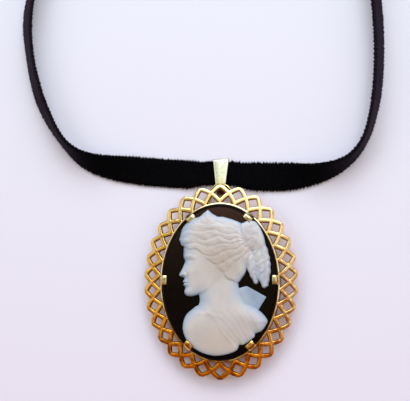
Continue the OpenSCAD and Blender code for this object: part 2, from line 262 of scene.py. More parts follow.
def near_place(tree, x, y, radius):
    """1 at a place on the pendant, falling softly to 0 at a radius, all in millimetres."""
    squares = []
    for axis, middle in (("X", x), ("Y", y)):
        away = arithmetic(tree, "SUBTRACT", axis_of(tree, axis), middle * MM)
        squares.append(arithmetic(tree, "POWER", arithmetic(tree, "DIVIDE", away, radius * MM), 2.0))
    return arithmetic(tree, "POWER", mapped(tree, arithmetic(tree, "ADD", *squares), 1.0, 0.0), 1.5)


def gold_material(name, tones, rough, bump=0.35):
    """Polished gold, its tone a painted reflection from the foot up to the bail, with painted glints and painted
    shade on its steep sides.
    """
    material, tree, shader = new_material(name, metallic=1.0)
    # Painted reflection: the tone runs by height on the pendant, deep orange at the foot and pale at the top, as
    # slopes mirroring a dim room below and a bright one above would show.
    tone = ramp(tree, mapped(tree, axis_of(tree, "Y"), -0.026, 0.032), tones)
    # Painted reflection: the tone turns paler towards the right side, most on its upper part.
    painted_reflection_right = mapped(tree, axis_of(tree, "X"), 0.004, 0.018, 0.0, 0.38)
    painted_reflection_right = arithmetic(tree, "MULTIPLY", painted_reflection_right, mapped(tree, axis_of(tree, "Y"), -0.020, -0.002, 0.25, 1.1))
    tone = mixed(tree, tone, (1.06, 0.90, 0.56, 1), painted_reflection_right, "MIX")
    # Painted glints and painted shade: random dark and bright patches in the tone, stronger towards the foot.
    painted_glints_and_shade = ramp(tree, noise_on(tree, 620, 2), [
        (0.38, (0.42, 0.28, 0.16)), (0.5, (1.04, 1.1, 1.2)), (0.62, (1.25, 1.5, 2.1))])
    tone = mixed(tree, tone, painted_glints_and_shade, mapped(tree, axis_of(tree, "Y"), 0.012, -0.016, 0.15, 0.85))
    # Painted shade: steep sides turn dark brown, standing for walls that mirror the shadowed floor beneath, partly
    # patina in the holes.
    facing = mapped(tree, axis_of(tree, "Z", "Normal"), 0.25, 0.8)
    plug(shader, mixed(tree, (0.20, 0.08, 0.015, 1), tone, facing, "MIX"))
    plug(shader, mapped(tree, noise_on(tree, 900), 0.3, 0.7, rough * 0.8, rough * 1.3), "Roughness")
    add_bump(tree, shader, noise_on(tree, 420, 2), bump, 0.00012)
    return material


def onyx_material():
    """Black onyx, its base colour painted brownish towards its top as a painted reflection."""
    material, tree, shader = new_material("black_onyx", ior=1.54, specular_ior_level=0.32)
    # Painted reflection: the base colour turns from black to brown towards the top of the stone.
    place = mapped(tree, axis_of(tree, "Y"), -0.02, 0.02)
    plug(shader, ramp(tree, place, [(0.0, (0.001, 0.001, 0.0015)), (0.45, (0.004, 0.0028, 0.0015)),
                                    (0.75, (0.010, 0.006, 0.004)), (1.0, (0.045, 0.026, 0.018))]))
    plug(shader, mapped(tree, noise_on(tree, 260, 4), 0.3, 0.75, 0.06, 0.13), "Roughness")
    return material


def onyx_edge_material():
    """The ground bevel: less polished, nearly black, and with its reflection turned down as painted shade from the
    collar.
    """
    material, tree, shader = new_material("onyx_bevel", ior=1.54, roughness=0.3, specular_ior_level=0.07)
    tone = ramp(tree, noise_on(tree, 500), [(0.3, (0.0015, 0.0008, 0.0005)), (0.7, (0.004, 0.002, 0.0012))])
    plug(shader, tone)
    return material


def cameo_material():
    """Milky carved layer: bluish where it is thin, warmer where it is thick, with faint clouding."""
    material, tree, shader = new_material(
        "milky_layer", ior=1.5, roughness=0.45, subsurface_weight=0.7, subsurface_radius=(1.0, 0.9, 0.8),
        subsurface_scale=0.0008)
    depth = mapped(tree, axis_of(tree, "Z"), (FACE_Z + 0.2) * MM, (FACE_Z + 2.0) * MM)
    brow = arithmetic(tree, "MULTIPLY", mapped(tree, axis_of(tree, "X"), -0.0045, -0.0095),
                      mapped(tree, axis_of(tree, "Y"), 0.004, 0.010))
    depth = arithmetic(tree, "MULTIPLY_ADD", mapped(tree, axis_of(tree, "Y"), -0.0085, -0.0150), 0.22, depth)
    tone = ramp(tree, arithmetic(tree, "MULTIPLY_ADD", brow, -0.28, depth), [
        (0.0, (0.30, 0.42, 0.57)), (0.25, (0.43, 0.54, 0.66)), (0.45, (0.57, 0.63, 0.69)),
        (0.62, (0.65, 0.65, 0.65)), (0.8, (0.60, 0.575, 0.56)), (1.0, (0.54, 0.50, 0.48))])
    clouds = ramp(tree, noise_on(tree, 300, 5), [(0.3, (0.89, 0.905, 0.935)), (0.7, (0.96, 0.965, 0.965))])
    tone = mixed(tree, tone, clouds)
    for x, y, radius, colour in ((1.5, 17, 9, (1.04, 1.10, 1.16, 1)), (9, 13, 5.5, (1.00, 1.08, 1.17, 1)),
                                 (1, 5, 6.5, (0.87, 0.82, 0.75, 1)), (0, -18, 8, (1.08, 1.045, 0.965, 1)),
                                 (10, 1.5, 4.5, (0.80, 0.83, 0.93, 1)), (10, -9, 5, (0.92, 0.94, 1.02, 1))):
        tone = mixed(tree, tone, colour, arithmetic(tree, "MULTIPLY", near_place(tree, x, y, radius), 0.9))
    plug(shader, tone)
    add_bump(tree, shader, noise_on(tree, 3200, 4), 0.12, 0.00003)
    return material


def velvet_material():
    """Black pile: almost no light straight on, a purplish-grey bloom at a grazing angle, and a painted sheen on its
    side runs.
    """
    material, tree, shader = new_material(
        "black_velvet", roughness=1.0, sheen_weight=0.11, sheen_roughness=0.3, sheen_tint=(0.7, 0.55, 0.85, 1),
        specular_ior_level=0.05)
    pile = ramp(tree, noise_on(tree, 1800, 5), [(0.3, (0.0006, 0.0007, 0.0012)), (0.75, (0.0026, 0.0027, 0.004))])
    # Painted sheen: a lighter purplish-grey base colour on the side runs, far from the middle, where the pile is seen
    # at a grazing angle.
    painted_side_sheen = ramp(tree, noise_on(tree, 1400, 5), [(0.3, (0.006, 0.0045, 0.008)), (0.75, (0.017, 0.0125, 0.022))])
    away = arithmetic(tree, "ABSOLUTE", arithmetic(tree, "ADD", axis_of(tree, "X"), 0.0044))
    plug(shader, mixed(tree, pile, painted_side_sheen, mapped(tree, away, 0.030, 0.043), "MIX"))
    add_bump(tree, shader, noise_on(tree, 5200, 3), 0.6, 0.00012)
    return material


# Tone stops run from the foot of the pendant (0) to above the bail (1): deep orange low and pale high is painted
# reflection.
GOLD = gold_material("border_gold", [
    (0.0, (0.88, 0.29, 0.012)), (0.3, (0.97, 0.46, 0.045)), (0.62, (0.99, 0.64, 0.15)), (0.92, (1.0, 0.85, 0.41))],
    0.15)
CLAW_GOLD = gold_material("claw_gold", [
    (0.18, (0.95, 0.50, 0.10)), (0.34, (0.97, 0.84, 0.38)), (1.0, (0.97, 0.93, 0.56))], 0.2)
# The bail's lowest stop, dark brown at its foot, is a painted shadow under the border's top arch.
PALE_GOLD = gold_material("bail_gold", [
    (0.855, (0.30, 0.17, 0.04)), (0.875, (0.90, 0.82, 0.38)), (0.93, (0.90, 0.97, 0.68)), (1.0, (0.91, 1.0, 0.82))],
    0.2, bump=0.1)
COLLAR_GOLD = gold_material("collar_gold", [
    (0.05, (0.96, 0.52, 0.12)), (0.35, (1.0, 0.78, 0.34)), (0.7, (1.0, 0.87, 0.50)), (1.0, (1.0, 0.90, 0.58))], 0.2)
ONYX, ONYX_EDGE, MILK, VELVET = onyx_material(), onyx_edge_material(), cameo_material(), velvet_material()


# The setting: border, collar, claws and hanging loop

LEG_CURVE, PEAK_ROUND = 1.15, 0.045


def reach(u):
    n = outward(angle_at(u))
    return END_REACH * n[1] ** 2 + SIDE_REACH * n[0] ** 2 + RIGHT_MORE * n[0] + TOP_MORE * n[1]


def half_bar(u, v):
    """Half of a leg's extent outward: it widens from its peak at v = 0 to its foot at v = 1."""
    slope = (reach(u) - FOOT_REACH) * ARCHES / (EDGE_L + math.pi * reach(u))
    bend = v / np.hypot(v, PEAK_ROUND)
    return (BAR_W + (BAR_FOOT_W - BAR_W) * v) / 2 * np.sqrt(1 + (slope * bend) ** 2)


def leg(u, v):
    """Distance outward of an arch leg's middle line: its peak is at v = 0 and its foot at v = 1."""
    peak = reach(u) - half_bar(u, 0)
    w = np.sqrt(v * v + PEAK_ROUND ** 2) - PEAK_ROUND
    return peak - (peak - FOOT_REACH) * np.power(w, LEG_CURVE)


def inner_side(u, v, t):
    """Distance outward of a leg's inner side, from its edge at t = 0 to its middle line at t = 1."""
    return leg(u, v) - half_bar(u, v) * (1 - t)


def outer_side(u, v, t):
    return leg(u, v) + half_bar(u, v) * (1 - t)


def opened(test):
    """The widest half width, up to half an arch, at which a hole is still open."""
    low, high = 0.0, 0.5
    for _ in range(24):
        middle = (low + high) / 2
        low, high = (middle, high) if test(middle) else (low, middle)
    return low


def border_top(r):
    return BORDER_Z - BORDER_FALL * np.power(np.maximum(r, 0) / END_REACH, 1.3)


STATIONS = 0.5 * (np.arange(11) / 10) ** 1.25
INSIDE, LEAN = 0.36, 0.24


def hole_ring(kind, i, t):
    """One line round a hole, from its rim at t = 0 to the middle lines of the bars at t = 1, as rows (u, r)."""
    if kind == "diamond":
        u = float(i)
        half = 0.5 if t == 1 else opened(
            lambda v: leg(u, v) - leg(u, 1 - v) > (half_bar(u, v) + half_bar(u, 1 - v)) * (1 - t))
        w = STATIONS / 0.5 * half
        right = [(u + k, inner_side(u + k, k, t)) for k in w]
        lower = [(u + k, outer_side(u + k, 1 - k, t)) for k in w[::-1][1:]]
        left_low = [(u - k, outer_side(u - k, 1 - k, t)) for k in w[1:]]
        left_up = [(u - k, inner_side(u - k, k, t)) for k in w[::-1][1:-1]]
        return right + lower + left_low + left_up
    u = i + 0.5
    first = opened(lambda s: leg(u, 0.5 + s) - half_bar(u, 0.5 + s) > RIM_W)
    half = first + (0.5 - first) * t
    rim = RIM_W + (INSIDE - RIM_W) * t
    s = (0.5 - STATIONS[::-1]) / 0.5 * half
    top = [(u + k, inner_side(u + k, 0.5 + abs(k), t)) for k in np.concatenate([-s[::-1], s[1:]])]
    left_drop, right_drop = max(top[0][1] - rim, 0), max(top[-1][1] - rim, 0)
    right = [(u + half, rim + right_drop * (1 - k / 3)) for k in (1, 2)]
    foot = [(u + half * (1 - k / 6), rim) for k in range(13)]
    left = [(u - half, rim + left_drop * (1 - k / 3)) for k in (2, 1)]
    return top + right + foot + left


def outer_edge(i, places, t):
    """One line along an arch's outer edge, which never goes past its peak, as rows (u, r)."""
    return [(i + k, min(outer_side(i + k, abs(k), t), reach(i))) for k in places]


def lattice():
    """The pierced border: nearly flat bars with soft edges, and walls round every hole."""
    top_t, low_t = [0, 0.06, 0.15, 0.3, 0.6, 1], [0, 0.3, 1]
    verts, faces = [], []

    def surface_z(r, t, upper):
        if upper:
            return border_top(r) - 0.13 * (1 - t) ** 7 - 0.03 * (1 - t) ** 2
        return border_top(r) - BORDER_T + 0.1 * (1 - t) ** 2

    def strip(rings, closed):
        """Faces between neighbouring rings; rings are rows of points, the first a wall's foot."""
        start, n = len(verts), len(rings[0])
        for ring in rings:
            verts.extend(ring)
        for k in range(len(rings) - 1):
            for j in range(n if closed else n - 1):
                a, b = start + k * n, start + (k + 1) * n
                faces.append([a + j, a + (j + 1) % n, b + (j + 1) % n, b + j])

    def placed(line, t, upper):
        """A line in space; the under side lies nearer to the stone, as holes pierced square to the slope have it."""
        return [(*beside(u, r if upper else r - LEAN), surface_z(r, t, upper)) for u, r in line]

    for i in range(ARCHES):
        for kind in ("diamond", "foot"):
            rings = [placed(hole_ring(kind, i, t), t, False) for t in reversed(low_t)]
            rings += [placed(hole_ring(kind, i, t), t, True) for t in top_t]
            strip(rings, True)
        inner = [(i + 1 - k / 12, INSIDE) for k in range(13)]
        strip([placed(inner, 1, True), placed(inner, 1, False)], False)
        w = np.concatenate([-STATIONS[::-1], STATIONS[1:]])
        rings = [placed(outer_edge(i, w, t), t, False) for t in reversed(low_t)]
        rings += [placed(outer_edge(i, w, t), t, True) for t in top_t]
        strip([ring[::-1] for ring in rings], False)
    return welded(verts, faces)


def collar():
    """The wall round the stone with its ledge; its top slopes a little outward, with soft edges."""
    r0, r1 = STONE_FIT, STONE_FIT + COLLAR_T
    return swept([
        (r0, 0), (r0, LEDGE_Z - LEDGE_T), (-LEDGE_W, LEDGE_Z - LEDGE_T), (-LEDGE_W, LEDGE_Z), (r0, LEDGE_Z),
        (r0, COLLAR_Z - 0.05), (r0 + 0.03, COLLAR_Z - 0.01), (r0 + 0.08, COLLAR_Z), (r1 - 0.1, COLLAR_Z - 0.08),
        (r1 - 0.03, COLLAR_Z - 0.12), (r1, COLLAR_Z - 0.18), (r1, 0.12), (r1 - 0.12, 0)])


def claw_section(w, t, steps=6):
    """A strip's section: crowned on top, rounded at its sides, flat below."""
    crown = [(w * (0.5 - k / steps), t * (0.5 - 0.16 * abs(1 - 2 * k / steps) ** 3)) for k in range(1, steps)]
    return ([(w / 2, -t * 0.1), (w / 2 - 0.03, t * 0.08)] + crown
            + [(0.03 - w / 2, t * 0.08), (-w / 2, -t * 0.1), (0.05 - w / 2, -t / 2), (w / 2 - 0.05, -t / 2)])


def claw_angle(i):
    even = (i + 0.5) * ARCHES / CLAWS
    a = float(angle_at(even))
    return float(angle_at(even - CLAW_RISE * math.sin(a) * (1 + math.cos(a))))


def claw(i):
    """A strip that comes up from the collar, bends over the bevel and presses on the stone."""
    in_z = FACE_Z + STONE_FIT + CLAW_T / 2
    out_r = STONE_FIT + 0.04 + CLAW_T / 2
    path = smooth_line([(out_r, BORDER_Z - 0.5), (out_r, BEVEL_Z - 0.1), (out_r - 0.06, BEVEL_Z + 0.22),
                        (-BEVEL * 0.5, in_z - 0.1), (-BEVEL, in_z), (-CLAW_REACH + 0.25, in_z - 0.01),
                        (-CLAW_REACH, in_z - 0.03)], 6)
    a = claw_angle(i)
    base, n = oval(a), outward(a)
    side = np.array([-n[1], n[0]])
    sections = []
    last = len(path) - 1
    for k, (r, z) in enumerate(path):
        run = direction(path, k)
        up = np.array([run[1], -run[0]])
        to_tip = (last - k) / 6
        thin = 1 - 0.45 * max(1 - to_tip, 0) ** 2
        narrow = 1 - 0.07 * max(1 - to_tip, 0) ** 2
        sections.append([(*(base + n * (r + up[0] * t) + side * w), z + up[1] * t)
                         for w, t in [(w * narrow, (t + CLAW_T / 2) * thin - CLAW_T / 2)
                                      for w, t in claw_section(CLAW_W - 0.04, CLAW_T)]])
    return loft(sections)


def tube(points, radius, sides=16):
    points = np.asarray(points, float)
    sections = []
    for i, p in enumerate(points):
        run = direction(points, i)
        up = np.array([0, 0, 1.0])
        across = np.cross(run, up)
        across /= norm(across)
        sections.append([p + radius * (math.cos(a) * across + math.sin(a) * up)
                         for a in np.linspace(0, 2 * math.pi, sides, endpoint=False)])
    return loft(sections)


def hanging_loop():
    mid = LOOP_R - LOOP_WIRE / 2
    foot = STONE_H / 2 * math.sqrt(1 - (2 * mid / STONE_W) ** 2) + STONE_FIT
    arc = [(mid * math.cos(a), LOOP_Y + mid * math.sin(a), LOOP_Z) for a in np.linspace(0, math.pi, 33)]
    return tube([(mid, foot, LOOP_Z)] + arc + [(-mid, foot, LOOP_Z)], LOOP_WIRE / 2)


make_object("border_lattice", *lattice(), GOLD, "gold", ["setting"], sharp=50)
make_object("stone_collar", *collar(), COLLAR_GOLD, "gold", ["setting"])
make_object("claws", *joined([claw(i) for i in range(CLAWS)]), CLAW_GOLD, "gold", ["setting"])
make_object("hanging_loop", *hanging_loop(), GOLD, "gold", ["setting"])


# The black layer

def black_layer():
    """The oval stone, with a narrow flat ring round each large face that keeps its shading level."""
    profile = [(-0.5, STONE_Z), (-0.2, STONE_Z), (-0.03, STONE_Z + 0.03), (0, STONE_Z + 0.12), (0, BEVEL_Z - 0.1),
               (-0.08, BEVEL_Z - 0.03), (-BEVEL, FACE_Z - 0.05), (-BEVEL - 0.06, FACE_Z),
               (-BEVEL - 0.1, FACE_Z), (-BEVEL - 0.4, FACE_Z)]
    return loft(np.array(swept(profile, closed=False)).transpose(1, 0, 2))


# A thin dark shell over the stone's bevel: painted shade from the collar.
def bevel_band():
    return swept([(0, BEVEL_Z - 0.12), (0, BEVEL_Z - 0.04), (-0.03, BEVEL_Z + 0.03), (-BEVEL + 0.05, FACE_Z - 0.05),
                  (-BEVEL - 0.07, FACE_Z + 0.002), (-BEVEL, FACE_Z - 0.3), (-0.3, BEVEL_Z - 0.2)][::-1])


make_object("black_layer", *black_layer(), ONYX, "black_stone", ["onyx_base"], sharp=30)
make_object("stone_bevel", *bevel_band(), ONYX_EDGE, "black_stone", ["onyx_base"], sharp=30)


# The carving. Outlines in millimetres on the stone's face, from its middle.

PROFILE = [
    (-9.0, 10.4), (-9.12, 9.2), (-9.2, 7.9), (-9.22, 6.7), (-8.95, 5.9), (-8.85, 5.3), (-9.1, 4.5), (-9.5, 3.6),
    (-9.95, 2.7), (-10.3, 2.05), (-10.25, 1.65), (-9.85, 1.4), (-9.25, 1.25), (-9.0, 1.0), (-9.1, 0.6), (-9.38, 0.3),
    (-9.34, 0.02), (-9.02, -0.16), (-9.22, -0.42), (-9.2, -0.74), (-8.85, -1.08), (-8.72, -1.45), (-8.92, -2.0),
    (-8.98, -2.6), (-8.72, -3.15), (-8.2, -3.5)]
HEAD = PROFILE + [
    (-7.2, -3.6), (-6.2, -3.4), (-5.0, -3.0), (-3.4, -2.0), (-1.6, -0.4), (0.4, 1.6), (2.6, 4.0), (4.4, 7.0),
    (3.6, 11.0), (-0.5, 14.0), (-5.5, 13.5), (-8.3, 12.0)]
HAIR = [
    (-9.3, 9.2), (-10.0, 9.9), (-10.35, 10.9), (-10.1, 12.0), (-9.75, 13.4), (-9.0, 14.7), (-7.7, 15.9), (-6.4, 16.6),
    (-4.6, 17.0), (-2.4, 17.0), (-0.4, 16.95), (2.2, 16.6), (4.3, 15.8), (6.2, 14.9), (8.0, 12.6), (8.2, 9.0),
    (7.6, 5.6), (7.0, 2.5), (5.6, 0.6), (4.9, -0.1), (3.6, 0.2), (1.6, 1.4), (0.0, 3.2), (-1.6, 5.0), (-3.4, 6.6),
    (-5.4, 7.9), (-7.4, 8.6)]
DIADEM = [
    (-7.3, 15.9), (-5.2, 16.8), (-3.9, 17.9), (-2.8, 18.8), (-1.7, 17.7), (-0.4, 16.9), (-0.9, 15.2), (-3.0, 14.2),
    (-5.6, 14.4)]
BUN = [
    (5.4, 14.6), (6.4, 15.4), (8.2, 15.9), (9.8, 15.2), (11.0, 13.4), (11.8, 11.0), (11.6, 9.0), (9.0, 7.8),
    (6.2, 8.8), (5.2, 11.6)]
RINGLETS = [
    [(7.0, 9.4), (7.7, 7.2), (8.3, 4.8), (8.6, 2.4), (9.1, 0.9), (9.5, 0.1)],
    [(9.0, 9.6), (9.9, 7.2), (10.6, 4.6), (10.9, 2.2), (11.2, 0.3), (11.6, -0.9)],
    [(10.6, 10.4), (11.5, 8.2), (12.1, 5.8), (12.3, 3.4), (12.3, 1.2), (12.1, -0.7)]]
RINGLET_R = [1.15, 1.2, 1.0]
NECK = [
    (-5.3, -2.4), (-5.1, -3.6), (-5.0, -4.6), (-5.2, -5.6), (-5.8, -7.0), (-3.0, -10.5), (4.0, -10.5), (9.0, -8.0),
    (7.4, -5.8), (6.0, -3.6), (5.2, -1.8), (4.9, 0.2), (5.0, 2.4), (0.0, 3.2), (-3.6, 0.2)]
CURLS = [
    (6.2, 9.4), (11.0, 9.8), (12.4, 6.4), (12.7, 3.2), (12.5, 0.6), (11.9, -0.3), (11.0, -0.2), (9.9, 0.5),
    (8.9, 0.9), (8.2, 1.7), (7.5, 2.4), (6.8, 4.6)]
CHEST = [
    (-5.0, -5.8), (-6.8, -6.8), (-8.6, -8.5), (-9.35, -10.8), (-9.15, -13.0), (-7.8, -15.6), (-5.0, -17.7),
    (-1.5, -18.7), (1.7, -18.4), (4.4, -17.4), (5.2, -16.0), (6.3, -15.9), (8.9, -14.1), (9.3, -13.1),
    (10.9, -12.4), (12.0, -10.9), (12.35, -9.6), (10.5, -7.4), (7.6, -5.6), (5.0, -4.8), (0.0, -5.4)]
SCARF = [(4.9, -1.6), (7.1, -1.0), (12.1, -3.8), (9.9, -7.4), (6.2, -6.6)]


def signed_inside(points, outline):
    """Distance to a closed outline, positive inside it."""
    a, b = outline, np.roll(outline, -1, axis=0)
    best = np.full(len(points), 1e9)
    inside = np.zeros(len(points), bool)
    for p, q in zip(a, b):
        d = q - p
        share = np.clip(((points - p) @ d) / (d @ d + 1e-12), 0, 1)
        best = np.minimum(best, norm(points - (p + share[:, None] * d), axis=1))
        crosses = (p[1] > points[:, 1]) != (q[1] > points[:, 1])
        with np.errstate(divide="ignore", invalid="ignore"):
            x = p[0] + (points[:, 1] - p[1]) * d[0] / d[1]
        inside ^= crosses & (points[:, 0] < x)
    return np.where(inside, best, -best)


def near_line(points, line):
    """Distance to an open line and the length along it of the nearest place, and the side it is on."""
    best, along, side = np.full(len(points), 1e9), np.zeros(len(points)), np.zeros(len(points))
    start = 0.0
    for p, q in zip(line[:-1], line[1:]):
        d = q - p
        length = norm(d)
        share = np.clip(((points - p) @ d) / length ** 2, 0, 1)
        off = points - (p + share[:, None] * d)
        dist = norm(off, axis=1)
        nearer = dist < best
        best = np.where(nearer, dist, best)
        along = np.where(nearer, start + share * length, along)
        side = np.where(nearer, np.sign(d[0] * off[:, 1] - d[1] * off[:, 0]), side)
        start += length
    return best, along, side


def dome(d, width, power=0.55):
    """0 at an edge, 1 from width inward, rising round."""
    s = np.clip(d / width, 0, 1)
    return np.power(1 - (1 - s) ** 2, power)


def bell(a, middle, width):
    return np.exp(-((a - middle) / width) ** 2)


def bump_at(p, x, y, wx, wy, turn=0.0):
    c, s = math.cos(math.radians(turn)), math.sin(math.radians(turn))
    dx, dy = p[:, 0] - x, p[:, 1] - y
    return np.exp(-((c * dx + s * dy) / wx) ** 2 - ((-s * dx + c * dy) / wy) ** 2)


def soft_line(p, points, width):
    d, along, _ = near_line(p, smooth_line(points, 6))
    return bell(d, 0, width)


def ease(x, low, high):
    s = np.clip((x - low) / (high - low), 0, 1)
    return s * s * (3 - 2 * s)


SMOOTH = {k: smooth_line(v, 5, closed=True) for k, v in
          {"head": HEAD, "hair": HAIR, "bun": BUN, "neck": NECK, "chest": CHEST, "curls": CURLS}.items()}
SMOOTH["diadem"], SMOOTH["scarf"] = np.array(DIADEM, float), np.array(SCARF, float)
MASSES = ["head", "hair", "bun", "neck", "chest", "diadem", "curls"]

CLOUD = np.random.default_rng(11).random((64, 64)) * 2 - 1


def cloud(x, y):
    """Smooth random swell between -1 and 1, one wave to a unit."""
    i, j = np.floor(x).astype(int), np.floor(y).astype(int)
    u, v = x - i, y - j
    u, v = u * u * (3 - 2 * u), v * v * (3 - 2 * v)
    low, high = (CLOUD[i % 64, k % 64] * (1 - u) + CLOUD[(i + 1) % 64, k % 64] * u for k in (j, j + 1))
    return low * (1 - v) + high * v


def ringlet_field(p, k):
    """Signed distance of a ringlet, its round body, and the phase of its twist."""
    line = smooth_line(RINGLETS[k], 6)
    d, along, side = near_line(p, line)
    length = np.sum(norm(np.diff(line, axis=0), axis=1))
    turn = (along + 0.45 * cloud(along * 0.7, along * 0 + 9.5 * k)) / 1.9 * 2 * math.pi + 1.7 * k
    r = RINGLET_R[k] * (1 - 0.42 * ease(along, 0.6 * length, length)) * (0.95 + 0.08 * np.cos(turn + side * 1.3))
    body = np.sqrt(np.clip(1 - (d / r) ** 2, 0, 1))
    return r - d, body, turn + side * np.clip(d / r, 0, 1) * 2.9


def massed(p):
    """Signed distance of all the masses together, with small dents along the hair's outline."""
    x, y = p[:, 0], p[:, 1]
    hair = np.maximum(ease(y, 9.4, 10.6), ease(x, 3.0, 5.0) * ease(y, 0.4, 2.0))
    dents = 0.5 + 0.32 * cloud(x * 0.95, y * 0.95) + 0.18 * cloud(x * 2.3 + 9, y * 2.3)
    return np.max([signed_inside(p, SMOOTH[k]) for k in MASSES], axis=0) - 0.3 * hair * dents


def claw_gap(p):
    """Signed distance from the room that the carving leaves round the claws."""
    best = np.full(len(p), 1e9)
    for i in range(CLAWS):
        a = claw_angle(i)
        n = outward(a)
        rel = p - oval(a)
        inward, beside_it = -(rel @ n), np.abs(rel @ np.array([-n[1], n[0]]))
        best = np.minimum(best, np.maximum(inward - CLAW_REACH, beside_it - CLAW_W / 2) - STONE_FIT)
    return best


def silhouette(p):
    d = np.maximum(massed(p), signed_inside(p, SMOOTH["scarf"]))
    for k in range(3):
        d = np.maximum(d, ringlet_field(p, k)[0])
    return np.minimum(d, claw_gap(p))


def onto_outline(field, q, rounds=2, e=0.02):
    """Moves points that lie near a field's zero line onto it."""
    for _ in range(rounds):
        d = field(q)
        grad = np.stack([field(q + [e, 0]) - d, field(q + [0, e]) - d], axis=1) / e
        size = np.maximum(norm(grad, axis=1), 0.5)
        q = q - grad / size[:, None] ** 2 * d[:, None]
    return q


def depth_inside(p, rim):
    """Distance from the nearest of the rim's points."""
    tree = KDTree(len(rim))
    for k, (x, y) in enumerate(rim):
        tree.insert((x, y, 0), k)
    tree.balance()
    return np.array([tree.find((x, y, 0))[2] for x, y in p])


# What is modelled on the masses: bumps (height, x, y, half widths, turn) and soft lines (height, points, width)
FACE = [
    (0.13, -6.0, 2.4, 1.9, 2.3), (0.1, -7.8, -2.3, 1.0, 0.95),
    (0.12, [(-8.9, 6.3), (-7.8, 6.75), (-6.3, 6.35)], 0.45),
    (-0.3, -7.75, 5.15, 1.05, 0.7), (0.3, -7.7, 4.95, 0.5, 0.42), (-0.05, -8.02, 4.93, 0.16, 0.2),
    (0.13, [(-8.3, 4.9), (-7.75, 5.4), (-6.75, 5.0)], 0.13),
    (0.08, [(-8.2, 4.68), (-7.65, 4.46), (-6.95, 4.8)], 0.11),
    (0.26, -8.9, 1.95, 0.5, 0.46), (0.1, [(-9.1, 4.4), (-9.5, 3.2), (-9.9, 2.2)], 0.4), (-0.2, -9.3, 1.5, 0.28, 0.14),
    (-0.14, [(-8.4, 2.5), (-8.15, 1.7), (-8.3, 1.0)], 0.2),
    (-0.24, [(-9.2, -0.14), (-8.7, -0.12), (-8.1, -0.26)], 0.12),
    (0.15, [(-9.1, 0.3), (-8.4, 0.16)], 0.22), (0.17, [(-9.0, -0.52), (-8.45, -0.46)], 0.24),
    (-0.06, -7.85, -0.25, 0.28, 0.5), (-0.13, -8.45, -1.2, 0.7, 0.3), (-0.06, -3.4, -1.4, 1.6, 0.9, 40)]
SHOULDERS = [
    (0.08, [(2.0, -0.4), (0.4, -3.8), (-2.4, -7.8)], 1.0), (0.05, [(-6.2, -7.9), (-3.0, -8.1), (0.2, -9.0)], 0.6),
    (-0.035, [(-5.6, -7.2), (-2.8, -7.4), (0.6, -8.2)], 0.45),
    (0.14, -4.8, -12.0, 3.6, 3.2), (0.1, 7.8, -9.4, 3.2, 2.2, -25)]
JEWELS = [
    (0.1, -2.8, 16.4, 0.42, 0.8), (0.08, -4.1, 15.8, 0.34, 0.6, 25), (0.08, -1.7, 15.7, 0.34, 0.6, -25),
    (0.06, -5.4, 15.4, 0.3, 0.42, 35), (0.06, -2.8, 17.7, 0.22, 0.3)]


def modelled(p, rows):
    return sum(row[0] * (soft_line if isinstance(row[1], list) else bump_at)(p, *row[1:]) for row in rows)


def lock_field(p):
    """Which lock of hair a point is in, how far across it (0 to 1), and how far along: they run from brow to bun."""
    x, y = p[:, 0], p[:, 1]
    ax, ay, bx, by = -15.0, 12.0, 8.6, 11.0
    turn = np.mod(np.arctan2(y - ay, x - ax) - np.arctan2(y - by, x - bx), 2 * math.pi)
    along = np.log(np.hypot(x - ax, y - ay) / np.maximum(np.hypot(x - bx, y - by), 0.4))
    sway = 0.17 * np.sin(along * 5.4 + turn * 2.6) + 0.2 * cloud(along * 1.8, turn * 5)
    phase = turn * 2.9 + sway
    return np.floor(phase), phase - np.floor(phase), along


def hair_relief(p):
    """Wavy locks, each with its own crimps and a few finer strands."""
    k, across, along = lock_field(p)
    body = np.power(np.sin(math.pi * across), 0.75)
    crimp = np.cos(along * 9.5 + 2.4 * k + 2.2 * cloud(along * 1.7, k * 0.37))
    strands = np.cos(2 * math.pi * 4 * across + 1.8 * cloud(along * 2.6, k * 0.71)) + 0.7 * np.cos(
        2 * math.pi * 7 * across + 3 * cloud(along * 3.4, k * 0.53))
    lumps = cloud(p[:, 0] * 1.05, p[:, 1] * 1.05) + 0.6 * cloud(p[:, 0] * 2.1 + 5, p[:, 1] * 2.1)
    return body * (0.12 + 0.042 * crimp) + 0.016 * body * strands + 0.03 * lumps - 0.05


